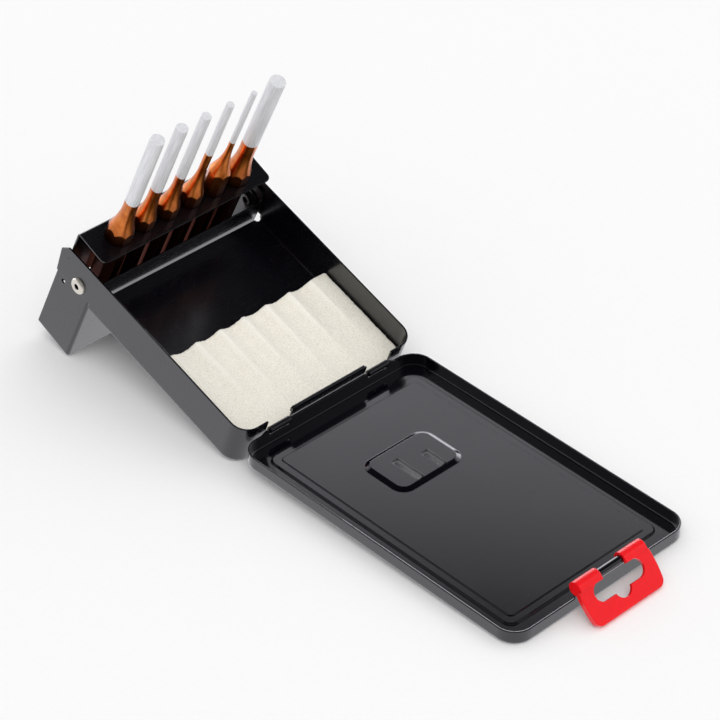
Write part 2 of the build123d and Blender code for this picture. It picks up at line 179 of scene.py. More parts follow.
def buildLights():
    # a white room with a dark ceiling, which gloss shows and matt surfaces only feel as an even light
    world = bpy.data.worlds.new("studio")
    bpy.context.scene.world = world
    world.use_nodes = True
    tree = world.node_tree
    tree.nodes.clear()
    ray = addNode(tree, "ShaderNodeTexCoord").outputs["Generated"]
    toward = addNode(tree, "ShaderNodeSeparateXYZ", {"Vector": ray})
    room = addNode(tree, "ShaderNodeMapRange", {
        "Value": toward.outputs["Z"], "From Min": light["wallTop"], "From Max": light["ceiling"],
        "To Min": light["wallLevel"], "To Max": light["ceilingLevel"],
    }, interpolation_type="SMOOTHSTEP")
    facing = addNode(tree, "ShaderNodeVectorMath", {0: ray, 1: light["whiteSide"]}, operation="DOT_PRODUCT")
    side = addNode(tree, "ShaderNodeMapRange", {
        "Value": facing.outputs["Value"], "From Min": light["darkFrom"], "From Max": light["whiteFrom"],
        "To Min": light["darkSide"],
    }, interpolation_type="SMOOTHSTEP")
    low = addNode(tree, "ShaderNodeMapRange", {
        "Value": toward.outputs["Z"], "From Min": light["windowFull"], "From Max": light["windowTop"],
        "To Min": light["windowLevel"], "To Max": 0.0,
    }, interpolation_type="SMOOTHSTEP")
    opposite = addNode(tree, "ShaderNodeMapRange", {
        "Value": facing.outputs["Value"], "From Min": light["windowSide"], "From Max": light["windowMiddle"],
    }, interpolation_type="SMOOTHSTEP")
    window = addNode(tree, "ShaderNodeMath", {0: low, 1: opposite}, operation="MULTIPLY")
    walls = addNode(tree, "ShaderNodeMath", {0: room, 1: side, 2: window}, operation="MULTIPLY_ADD")
    even = addNode(tree, "ShaderNodeBackground", {
        "Color": linear(light["white"]), "Strength": light["ambient"],
    })
    shown = addNode(tree, "ShaderNodeBackground", {"Color": linear(light["shown"]), "Strength": walls})
    white = addNode(tree, "ShaderNodeBackground", {"Color": linear(light["white"]), "Strength": 1.0})
    path = addNode(tree, "ShaderNodeLightPath").outputs
    felt = addNode(tree, "ShaderNodeMixShader", {"Fac": path["Is Glossy Ray"], 1: even, 2: shown})
    seen = addNode(tree, "ShaderNodeMixShader", {"Fac": path["Is Camera Ray"], 1: felt, 2: white})
    addNode(tree, "ShaderNodeOutputWorld", {"Surface": seen})
    for name in ("key", "fill"):
        lamp = bpy.data.lights.new(name + "Light", "SUN")
        lamp.energy = light[name]["power"]
        lamp.angle = math.radians(light[name]["softness"])
        holder = bpy.data.objects.new(name + "Light", lamp)
        holder.rotation_euler = Vector(light[name]["aim"]).to_track_quat("-Z", "Y").to_euler()
        holder.visible_glossy = False          # gloss shows the room itself
        bpy.context.scene.collection.objects.link(holder)


placeCamera()
buildFloor()
buildLights()
bpy.context.scene.view_settings.view_transform = "Standard"
print("stage: camera, floor and light")


def dress(material, *names):
    for name in names:
        for materialSlot in frame["nodes"][name].material_slots:
            materialSlot.material = material


enamel = dict(       # what the three coats have in common
    ior=1.52, coatIor=1.55,
    peelHeight=0.03 * mm, peelStrength=0.10,
    speckCore=0.015, speckEdge=0.035,                # as shares of the gap between specks
    rubGap=14 * mm, rubStretch=22.0,                 # wider than real hairlines, so that they show
    rubTurn=(0.3, 0.2, 0.7), rubFrom=0.62, rubFull=0.72,
    rubRoughness=0.10, rubDepth=0.01 * mm, rubStrength=0.08,
    handledGap=30 * mm, handledFrom=0.35, handledFull=0.70, handledRoughness=0.06,
)
gloss = dict(        # the lid, which is seldom touched
    base="#05050a", dust="#4a4a4c", roughness=0.10, coat=0.6, coatRoughness=0.04,
    wave=3.0 * mm, speckGap=7.0 * mm, edge=0.60 * mm,
)
worn = dict(         # the tray, dulled by what lies in it
    base="#05050a", dust="#4a4a4c", roughness=0.22, coat=0.50, coatRoughness=0.16,
    wave=2.4 * mm, speckGap=7.0 * mm, edge=0.30 * mm,
)
satin = dict(        # the holder and the rack
    base="#06060a", dust="#3c3a38", roughness=0.22, coat=0.50, coatRoughness=0.08,
    wave=1.6 * mm, speckGap=5.0 * mm, edge=0.30 * mm,
)


def stoveEnamel(name, own):
    # black stoving enamel on drawn sheet: a deep wet gloss with a slight orange peel, thin bright
    # lines where the sheet bends, hairline rubs and a few grains of dust
    material, tree = newMaterial(name)
    place = addNode(tree, "ShaderNodeTexCoord").outputs["Object"]
    peel = addNode(tree, "ShaderNodeTexNoise", {
        "Vector": place, "Scale": 1 / own["wave"], "Detail": 1.5, "Roughness": 0.4,
    })
    grains = addNode(tree, "ShaderNodeTexVoronoi", {"Vector": place, "Scale": 1 / own["speckGap"]})
    speck = addNode(tree, "ShaderNodeMapRange", {
        "Value": grains.outputs["Distance"], "From Min": enamel["speckCore"],
        "From Max": enamel["speckEdge"], "To Min": 1.0, "To Max": 0.0,
    })
    stretched = addNode(tree, "ShaderNodeMapping", {
        "Vector": place, "Rotation": enamel["rubTurn"],
        "Scale": (1.0, enamel["rubStretch"], enamel["rubStretch"]),
    })
    rubs = addNode(tree, "ShaderNodeTexNoise", {
        "Vector": stretched, "Scale": 1 / enamel["rubGap"], "Detail": 3.0,
    })
    hairline = addNode(tree, "ShaderNodeMapRange", {
        "Value": rubs, "From Min": enamel["rubFrom"], "From Max": enamel["rubFull"],
    })
    handled = addNode(tree, "ShaderNodeTexNoise", {
        "Vector": place, "Scale": 1 / enamel["handledGap"], "Detail": 3.0,
    })
    haze = addNode(tree, "ShaderNodeMapRange", {
        "Value": handled, "From Min": enamel["handledFrom"], "From Max": enamel["handledFull"],
        "To Min": own["roughness"], "To Max": own["roughness"] + enamel["handledRoughness"],
    })
    rough = addNode(tree, "ShaderNodeMath", {
        0: hairline, 1: enamel["rubRoughness"], 2: haze,
    }, operation="MULTIPLY_ADD")
    tone = addNode(tree, "ShaderNodeMix", {
        "Factor": speck, "A": linear(own["base"]), "B": linear(own["dust"]),
    }, data_type="RGBA")
    edge = addNode(tree, "ShaderNodeBevel", {"Radius": own["edge"]}, samples=edgeSamples)
    skin = addNode(tree, "ShaderNodeBump", {
        "Height": peel, "Strength": enamel["peelStrength"], "Distance": enamel["peelHeight"],
        "Normal": edge,
    })
    scratched = addNode(tree, "ShaderNodeBump", {
        "Height": hairline, "Strength": enamel["rubStrength"], "Distance": enamel["rubDepth"],
        "Normal": skin,
    })
    shader = addNode(tree, "ShaderNodeBsdfPrincipled", {
        "Base Color": tone, "Roughness": rough, "IOR": enamel["ior"], "Normal": scratched,
        "Coat Weight": own["coat"], "Coat Roughness": own["coatRoughness"], "Coat IOR": enamel["coatIor"],
        "Coat Normal": skin,
    })
    addNode(tree, "ShaderNodeOutputMaterial", {"Surface": shader})
    return material


plating = dict(      # what both platings have in common
    metallic=0.75, edge=0.15 * mm, scuffDepth=0.02 * mm, scuffStrength=0.10,
    scuffFrom=0.3, scuffFull=0.7, smoother=0.04, rougher=0.10,        # how far scuffs move the roughness
    stainPerScuff=6,                                                  # stains are so many times wider
)
# scuffs are drawn coarser than the real ones, so that they show
shadeDarkWasher = dict(colour="#3a3b3f", dull="#242528", roughness=0.38, scuff=0.6 * mm)        # painted shade: the zinc washers are made dark and dull, for the shade inside the holder
nickel = dict(colour="#f2ede2", dull="#d8d2c6", roughness=0.36, scuff=0.5 * mm)        # a warm white shine


def platedMetal(name, own):
    # plated steel pressings: a metal's shine, softened by fine tumbling scuffs, with edges that catch
    # the light
    material, tree = newMaterial(name)
    place = addNode(tree, "ShaderNodeTexCoord").outputs["Object"]
    scuff = addNode(tree, "ShaderNodeTexNoise", {"Vector": place, "Scale": 1 / own["scuff"], "Detail": 4.0})
    rough = addNode(tree, "ShaderNodeMapRange", {
        "Value": scuff, "From Min": plating["scuffFrom"], "From Max": plating["scuffFull"],
        "To Min": own["roughness"] - plating["smoother"], "To Max": own["roughness"] + plating["rougher"],
    })
    stain = addNode(tree, "ShaderNodeTexNoise", {
        "Vector": place, "Scale": 1 / (plating["stainPerScuff"] * own["scuff"]), "Detail": 2.0,
    })
    tone = addNode(tree, "ShaderNodeMix", {
        "Factor": stain, "A": linear(own["colour"]), "B": linear(own["dull"]),
    }, data_type="RGBA")
    edge = addNode(tree, "ShaderNodeBevel", {"Radius": plating["edge"]}, samples=edgeSamples)
    bump = addNode(tree, "ShaderNodeBump", {
        "Height": scuff, "Strength": plating["scuffStrength"], "Distance": plating["scuffDepth"],
        "Normal": edge,
    })
    shader = addNode(tree, "ShaderNodeBsdfPrincipled", {
        "Base Color": tone, "Metallic": plating["metallic"], "Roughness": rough, "Normal": bump,
    })
    addNode(tree, "ShaderNodeOutputMaterial", {"Surface": shader})
    return material


clip = dict(
    colour="#f4161e", deep="#e00f18", ior=1.49, edge=0.30 * mm,
    roughness=0.20, smoother=0.03, rougher=0.06,
    flow=5.0 * mm, flowFrom=0.3, flowFull=0.7, flowHeight=0.05 * mm, flowStrength=0.15,
    grain=0.4 * mm, grainHeight=0.01 * mm, grainStrength=0.05,        # coarser than real, so that it shows
    glow=0.15, glowColour=(1.0, 0.15, 0.1), glowDepth=0.8 * mm,
)


def mouldedPolypropylene():
    # glossy red polypropylene: a wavy mould skin, rounded edges that catch the light, and light
    # that goes in a little so that thin walls glow
    material, tree = newMaterial("redPolypropylene")
    place = addNode(tree, "ShaderNodeTexCoord").outputs["Object"]
    flow = addNode(tree, "ShaderNodeTexNoise", {
        "Vector": place, "Scale": 1 / clip["flow"], "Detail": 2.0, "Distortion": 0.6,
    })
    grain = addNode(tree, "ShaderNodeTexNoise", {"Vector": place, "Scale": 1 / clip["grain"], "Detail": 2.0})
    rough = addNode(tree, "ShaderNodeMapRange", {
        "Value": flow, "From Min": clip["flowFrom"], "From Max": clip["flowFull"],
        "To Min": clip["roughness"] - clip["smoother"], "To Max": clip["roughness"] + clip["rougher"],
    })
    tone = addNode(tree, "ShaderNodeMix", {
        "Factor": flow, "A": linear(clip["colour"]), "B": linear(clip["deep"]),
    }, data_type="RGBA")
    edge = addNode(tree, "ShaderNodeBevel", {"Radius": clip["edge"]}, samples=edgeSamples)
    wave = addNode(tree, "ShaderNodeBump", {
        "Height": flow, "Strength": clip["flowStrength"], "Distance": clip["flowHeight"], "Normal": edge,
    })
    skin = addNode(tree, "ShaderNodeBump", {
        "Height": grain, "Strength": clip["grainStrength"], "Distance": clip["grainHeight"], "Normal": wave,
    })
    shader = addNode(tree, "ShaderNodeBsdfPrincipled", {
        "Base Color": tone, "Roughness": rough, "IOR": clip["ior"], "Normal": skin,
        "Subsurface Weight": clip["glow"], "Subsurface Radius": clip["glowColour"],
        "Subsurface Scale": clip["glowDepth"],
    })
    addNode(tree, "ShaderNodeOutputMaterial", {"Surface": shader})
    return material


dress(stoveEnamel("glossBlackEnamel", gloss), "lid")
dress(stoveEnamel("wornBlackEnamel", worn), "tray")
satinEnamel = stoveEnamel("satinBlackEnamel", satin)
dress(satinEnamel, "holder_box", "punch_rack")
# painted shade: the washers are darkened for the shade inside the holder
dress(platedMetal("shadeDarkWasherSteel", shadeDarkWasher), "washer_left", "washer_right")
dress(mouldedPolypropylene(), "latch_clip")
print("stage: enamel, plate and plastic")

joints = {joint["name"]: joint for joint in frame["joints"]}
pivot = Vector(joints["holder_pivot"]["pos_m"])
hinge = Vector(joints["lid_hinge"]["pos_m"])
punchUp = Vector(joints["punch_7_lift"]["axis"])


def thirdSide(tree, longest, other):
    # the third side of a right-angled triangle
    whole = addNode(tree, "ShaderNodeMath", {0: longest, 1: 2.0}, operation="POWER")
    taken = addNode(tree, "ShaderNodeMath", {0: other, 1: 2.0}, operation="POWER")
    rest = addNode(tree, "ShaderNodeMath", {0: whole, 1: taken}, operation="SUBTRACT")
    return addNode(tree, "ShaderNodeMath", {0: rest}, operation="SQRT")


def creasedFrom(tree, mesh, degrees):
    # smooth shading, with every edge that bends by more than this left sharp
    smooth = addNode(tree, "GeometryNodeSetShadeSmooth", {"Geometry": mesh, "Shade Smooth": True})
    bend = addNode(tree, "GeometryNodeInputMeshEdgeAngle").outputs["Unsigned Angle"]
    sharp = addNode(tree, "ShaderNodeMath", {0: bend, 1: math.radians(degrees)}, operation="GREATER_THAN")
    return addNode(tree, "GeometryNodeSetShadeSmooth", {
        "Geometry": smooth, "Selection": sharp, "Shade Smooth": False,
    }, domain="EDGE")


punchStock = dict(
    length=150.0 * mm, neckRadius=49.0 * mm, struckChamfer=1.2 * mm, tipChamfer=0.3 * mm,
    columns=48, neckRows=14, sharpFrom=12.0, weld=0.01 * mm,
    seatDrop=50.88 * mm, rowOffset=2.4 * mm,        # struck ends below the pivot, and the row behind it
)
punchKinds = {        # pin, across the flats, shoulder and lacquer's edge above the struck end, all in mm
    7: (6.9, 12.0, 82.3, 103.4),
    6: (5.9, 10.0, 82.9, 104.2),
    5: (4.9, 10.0, 82.9, 104.8),
    4: (3.9, 10.0, 83.8, 112.9),
    3: (2.9, 10.0, 90.4, 112.8),
    8: (7.9, 12.0, 82.3, 104.3),
}


def punchTree(material):
    # octagonal bar, hollow-ground down to a round pin: a wrapped grid, one column per angle and one row
    # per break in the profile, so that each flat ends in its own scallop on the neck
    tree, given = newTree("pinPunch", {
        "Pin": 7.0 * mm, "Flats": 12.0 * mm, "Shoulder": 80.0 * mm, "Length": punchStock["length"],
        "Neck Radius": punchStock["neckRadius"], "Struck Chamfer": punchStock["struckChamfer"],
        "Tip Chamfer": punchStock["tipChamfer"], "Lacquer Edge": 100.0 * mm,
        "Seat": (0.0, 0.0, 0.0), "Lean": 0.0,
    })
    firstNeckRow = 3        # below it come the struck end's middle, its face's rim and the chamfer's top
    lastNeckRow = firstNeckRow + punchStock["neckRows"]
    lastRow = lastNeckRow + 3        # above the neck come the pin's end, its chamfer and its middle
    wrapped = addNode(tree, "GeometryNodeMeshGrid", {
        "Size X": 1.0, "Size Y": 1.0, "Vertices X": punchStock["columns"] + 1, "Vertices Y": lastRow + 1,
    })
    position = addNode(tree, "GeometryNodeInputPosition")
    at = addNode(tree, "ShaderNodeSeparateXYZ", {"Vector": position}).outputs
    angle = addNode(tree, "ShaderNodeMapRange", {
        "Value": at["X"], "From Min": -0.5, "From Max": 0.5, "To Max": math.tau,
    })
    up = addNode(tree, "ShaderNodeMapRange", {
        "Value": at["Y"], "From Min": -0.5, "From Max": 0.5, "To Max": float(lastRow),
    })
    row = addNode(tree, "ShaderNodeMath", {0: up}, operation="ROUND")
    before = addNode(tree, "ShaderNodeMath", {0: row, 1: float(firstNeckRow)}, operation="MINIMUM")
    pastNeck = addNode(tree, "ShaderNodeMath", {0: row, 1: float(lastNeckRow)}, operation="SUBTRACT")
    after = addNode(tree, "ShaderNodeMath", {0: pastNeck, 1: 0.0}, operation="MAXIMUM")
    stage = addNode(tree, "ShaderNodeMath", {0: before, 1: after}, operation="ADD")

    halfFlats = addNode(tree, "ShaderNodeMath", {0: given["Flats"], 1: 2.0}, operation="DIVIDE")
    toCorner = math.pi / 8        # the angle from the middle of a flat
    offFlat = addNode(tree, "ShaderNodeMath", {0: angle, 1: toCorner, 2: -toCorner}, operation="WRAP")
    flatCosine = addNode(tree, "ShaderNodeMath", {0: offFlat}, operation="COSINE")
    edge = addNode(tree, "ShaderNodeMath", {0: halfFlats, 1: flatCosine}, operation="DIVIDE")
    corner = addNode(tree, "ShaderNodeMath", {0: halfFlats, 1: math.cos(toCorner)}, operation="DIVIDE")
    thin = addNode(tree, "ShaderNodeMath", {0: given["Pin"], 1: 2.0}, operation="DIVIDE")

    # the neck is an arc of the grinding wheel, whose centre is this far from the axis
    reach = addNode(tree, "ShaderNodeMath", {0: thin, 1: given["Neck Radius"]}, operation="ADD")
    offCorner = addNode(tree, "ShaderNodeMath", {0: reach, 1: corner}, operation="SUBTRACT")
    cornerRise = thirdSide(tree, given["Neck Radius"], offCorner)
    neckTop = addNode(tree, "ShaderNodeMath", {0: given["Shoulder"], 1: cornerRise}, operation="ADD")
    offEdge = addNode(tree, "ShaderNodeMath", {0: reach, 1: edge}, operation="SUBTRACT")
    edgeRise = thirdSide(tree, given["Neck Radius"], offEdge)
    scallop = addNode(tree, "ShaderNodeMath", {0: neckTop, 1: edgeRise}, operation="SUBTRACT")
    neckLevel = addNode(tree, "ShaderNodeMapRange", {
        "Value": row, "From Min": float(firstNeckRow), "From Max": float(lastNeckRow),
        "To Min": scallop, "To Max": neckTop,
    })
    belowTop = addNode(tree, "ShaderNodeMath", {0: neckTop, 1: neckLevel}, operation="SUBTRACT")
    wheel = thirdSide(tree, given["Neck Radius"], belowTop)
    neckHalf = addNode(tree, "ShaderNodeMath", {0: reach, 1: wheel}, operation="SUBTRACT")

    struck = addNode(tree, "ShaderNodeMath", {
        0: halfFlats, 1: given["Struck Chamfer"],
    }, operation="SUBTRACT")
    struckTop = addNode(tree, "ShaderNodeMath", {0: edge, 1: struck}, operation="SUBTRACT")
    tip = given["Length"]
    pinTop = addNode(tree, "ShaderNodeMath", {0: tip, 1: given["Tip Chamfer"]}, operation="SUBTRACT")
    pinFace = addNode(tree, "ShaderNodeMath", {0: thin, 1: given["Tip Chamfer"]}, operation="SUBTRACT")
    level = addNode(tree, "GeometryNodeIndexSwitch", {
        0: stage, 1: 0.0, 2: 0.0, 3: struckTop, 4: neckLevel, 5: pinTop, 6: tip, 7: tip,
    }, items=7, data_type="FLOAT")
    half = addNode(tree, "GeometryNodeIndexSwitch", {
        0: stage, 1: 0.0, 2: struck, 3: edge, 4: neckHalf, 5: thin, 6: pinFace, 7: 0.0,
    }, items=7, data_type="FLOAT")
    cosine = addNode(tree, "ShaderNodeMath", {0: angle}, operation="COSINE")
    sine = addNode(tree, "ShaderNodeMath", {0: angle}, operation="SINE")
    x = addNode(tree, "ShaderNodeMath", {0: half, 1: cosine}, operation="MULTIPLY")
    y = addNode(tree, "ShaderNodeMath", {0: half, 1: sine}, operation="MULTIPLY")
    place = addNode(tree, "ShaderNodeCombineXYZ", {"X": x, "Y": y, "Z": level})

    unrolled = addNode(tree, "ShaderNodeMath", {0: angle, 1: halfFlats}, operation="MULTIPLY")
    around = addNode(tree, "ShaderNodeCombineXYZ", {"X": unrolled, "Y": level})
    marked = addNode(tree, "GeometryNodeStoreNamedAttribute", {
        "Geometry": wrapped.outputs["Mesh"], "Name": "UVMap", "Value": around,
    }, data_type="FLOAT2", domain="CORNER")
    above = addNode(tree, "ShaderNodeMath", {0: level, 1: given["Lacquer Edge"]}, operation="SUBTRACT")
    filmed = addNode(tree, "GeometryNodeStoreNamedAttribute", {
        "Geometry": marked, "Name": "aboveLacquer", "Value": above,
    }, data_type="FLOAT", domain="POINT")
    shaped = addNode(tree, "GeometryNodeSetPosition", {"Geometry": filmed, "Position": place})
    closed = addNode(tree, "GeometryNodeMergeByDistance", {
        "Geometry": shaped, "Distance": punchStock["weld"],
    })
    creased = creasedFrom(tree, closed, punchStock["sharpFrom"])
    lean = addNode(tree, "ShaderNodeCombineXYZ", {"X": given["Lean"]})
    stood = addNode(tree, "GeometryNodeTransform", {
        "Geometry": creased, "Translation": given["Seat"], "Rotation": lean,
    })
    real = addNode(tree, "GeometryNodeRealizeInstances", {"Geometry": stood})
    painted = addNode(tree, "GeometryNodeSetMaterial", {"Geometry": real, "Material": material})
    addNode(tree, "NodeGroupOutput", {"Geometry": painted})
    return tree


steel = dict(
    film="#e98a3c", filmDeep="#bf5c1c", shadedFilm="#6e2a0a", bare="#eeeef0", bareDull="#d6d8dc",
    grindGap=0.25 * mm, grindDepth=0.02 * mm,        # coarser than the real lines, so that they show
    grindStrength=0.25, grindSquash=0.02,            # the lines run round the pin
    streakGap=0.8 * mm, streakSquash=0.05,           # streaks run along the punch
    streakWeight=0.9, castSize=4 * mm, castFrom=0.65, castFull=1.2,        # where the film ran uneven
    polishedFrom=0.35, polishedFull=0.62,            # brighter streaks on the bare pin
    ragged=0.7 * mm, raggedSize=3 * mm, filmEdge=0.25 * mm,        # the line that the film ends on
    shadeBelow=76.0 * mm, shadeEndsAbove=87.0 * mm,       # painted shade: below here the film is painted dark brown, for the shade on the flats and under the rack
    filmRoughness=0.30, bareRoughness=0.50, filmCoat=0.35, coatRoughness=0.08, bareMetallic=0.22,
    edge=0.2 * mm,
)


def lacqueredToolSteel():
    # tool steel dipped in a copper-coloured clear lacquer up to a wavy line, ground bare above it:
    # the film is orange on the ground neck and painted dark brown lower down, as painted shade on the
    # flats; the pin is satin silver with fine lines round it
    material, tree = newMaterial("lacqueredToolSteel")
    place = addNode(tree, "ShaderNodeTexCoord").outputs["Object"]
    unrolled = addNode(tree, "ShaderNodeUVMap", uv_map="UVMap")
    above = addNode(tree, "ShaderNodeAttribute", attribute_name="aboveLacquer").outputs["Fac"]
    wander = addNode(tree, "ShaderNodeTexNoise", {
        "Vector": place, "Scale": 1 / steel["raggedSize"], "Detail": 3.0,
    })
    level = addNode(tree, "ShaderNodeMath", {
        0: wander, 1: steel["ragged"], 2: above,
    }, operation="MULTIPLY_ADD")
    middle = steel["ragged"] / 2
    bare = addNode(tree, "ShaderNodeMapRange", {
        "Value": level, "From Min": middle, "From Max": middle + steel["filmEdge"],
    })
    rings = addNode(tree, "ShaderNodeMapping", {
        "Vector": unrolled, "Scale": (steel["grindSquash"], 1.0, 1.0),
    })
    ground = addNode(tree, "ShaderNodeTexNoise", {
        "Vector": rings, "Scale": 1 / steel["grindGap"], "Detail": 3.0,
    })
    cast = addNode(tree, "ShaderNodeTexNoise", {
        "Vector": place, "Scale": 1 / steel["castSize"], "Detail": 3.0,
    })
    drawn = addNode(tree, "ShaderNodeMapping", {
        "Vector": unrolled, "Scale": (1.0, steel["streakSquash"], 1.0),
    })
    streaks = addNode(tree, "ShaderNodeTexNoise", {
        "Vector": drawn, "Scale": 1 / steel["streakGap"], "Detail": 3.0,
    })
    cover = addNode(tree, "ShaderNodeMath", {
        0: streaks, 1: steel["streakWeight"], 2: cast,
    }, operation="MULTIPLY_ADD")
    uneven = addNode(tree, "ShaderNodeMapRange", {
        "Value": cover, "From Min": steel["castFrom"], "From Max": steel["castFull"],
    })
    film = addNode(tree, "ShaderNodeMix", {
        "Factor": uneven, "A": linear(steel["filmDeep"]), "B": linear(steel["film"]),
    }, data_type="RGBA")
    height = addNode(tree, "ShaderNodeSeparateXYZ", {"Vector": unrolled})
    # painted shade: the film is painted darker brown towards the struck end
    outOfShade = addNode(tree, "ShaderNodeMapRange", {
        "Value": height.outputs["Y"], "From Min": steel["shadeBelow"], "From Max": steel["shadeEndsAbove"],
    })
    dipped = addNode(tree, "ShaderNodeMix", {
        "Factor": outOfShade, "A": linear(steel["shadedFilm"]), "B": film,
    }, data_type="RGBA")
    polished = addNode(tree, "ShaderNodeMapRange", {
        "Value": streaks, "From Min": steel["polishedFrom"], "From Max": steel["polishedFull"],
    })
    metal = addNode(tree, "ShaderNodeMix", {
        "Factor": polished, "A": linear(steel["bareDull"]), "B": linear(steel["bare"]),
    }, data_type="RGBA")
    tone = addNode(tree, "ShaderNodeMix", {"Factor": bare, "A": dipped, "B": metal}, data_type="RGBA")
    rough = addNode(tree, "ShaderNodeMapRange", {
        "Value": bare, "To Min": steel["filmRoughness"], "To Max": steel["bareRoughness"],
    })
    coat = addNode(tree, "ShaderNodeMapRange", {"Value": bare, "To Min": steel["filmCoat"], "To Max": 0.0})
    metallic = addNode(tree, "ShaderNodeMapRange", {
        "Value": bare, "To Min": 1.0, "To Max": steel["bareMetallic"],
    })
    edge = addNode(tree, "ShaderNodeBevel", {"Radius": steel["edge"]}, samples=edgeSamples)
    lines = addNode(tree, "ShaderNodeBump", {
        "Height": ground, "Strength": steel["grindStrength"], "Distance": steel["grindDepth"],
        "Normal": edge,
    })
    shader = addNode(tree, "ShaderNodeBsdfPrincipled", {
        "Base Color": tone, "Metallic": metallic, "Roughness": rough, "Normal": lines,
        "Coat Weight": coat, "Coat Roughness": steel["coatRoughness"], "Coat Normal": edge,
    })
    addNode(tree, "ShaderNodeOutputMaterial", {"Surface": shader})
    return material


def buildPunches():
    tree = punchTree(lacqueredToolSteel())
    lean = math.atan2(-punchUp.y, punchUp.z)
    behind = Vector((0, punchUp.z, -punchUp.y))
    seat = pivot - punchUp * punchStock["seatDrop"] + behind * punchStock["rowOffset"]
    for size, (pin, flats, shoulder, filmEdge) in punchKinds.items():
        node = f"punch_{size}mm"
        low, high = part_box(node)
        seat.x = (low[0] + high[0]) / 2
        piece = grown(f"pinPunch{size}", tree, {
            "Pin": pin * mm, "Flats": flats * mm, "Shoulder": shoulder * mm, "Lacquer Edge": filmEdge * mm,
            "Seat": tuple(seat), "Lean": lean,
        })
        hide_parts(node)
        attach(piece, f"punch_{size}")
        print("punch", size, len(piece.data.polygons))


buildPunches()
print("stage: punches")

rivet = dict(
    bore=1.5 * mm, shank=2.5 * mm, head=4.15 * mm, headHeight=1.6 * mm, headRound=1.1 * mm,
    grip=3.3 * mm, tail=3.5 * mm, tailHeight=0.8 * mm, tailRound=0.35 * mm,
    turns=72, roundSteps=6, sharpFrom=35.0,
    shadePaintFrom=0.1 * mm,        # painted shade: what lies further inside the wall's face takes the holder's dark enamel, for the shade inside the holder
)


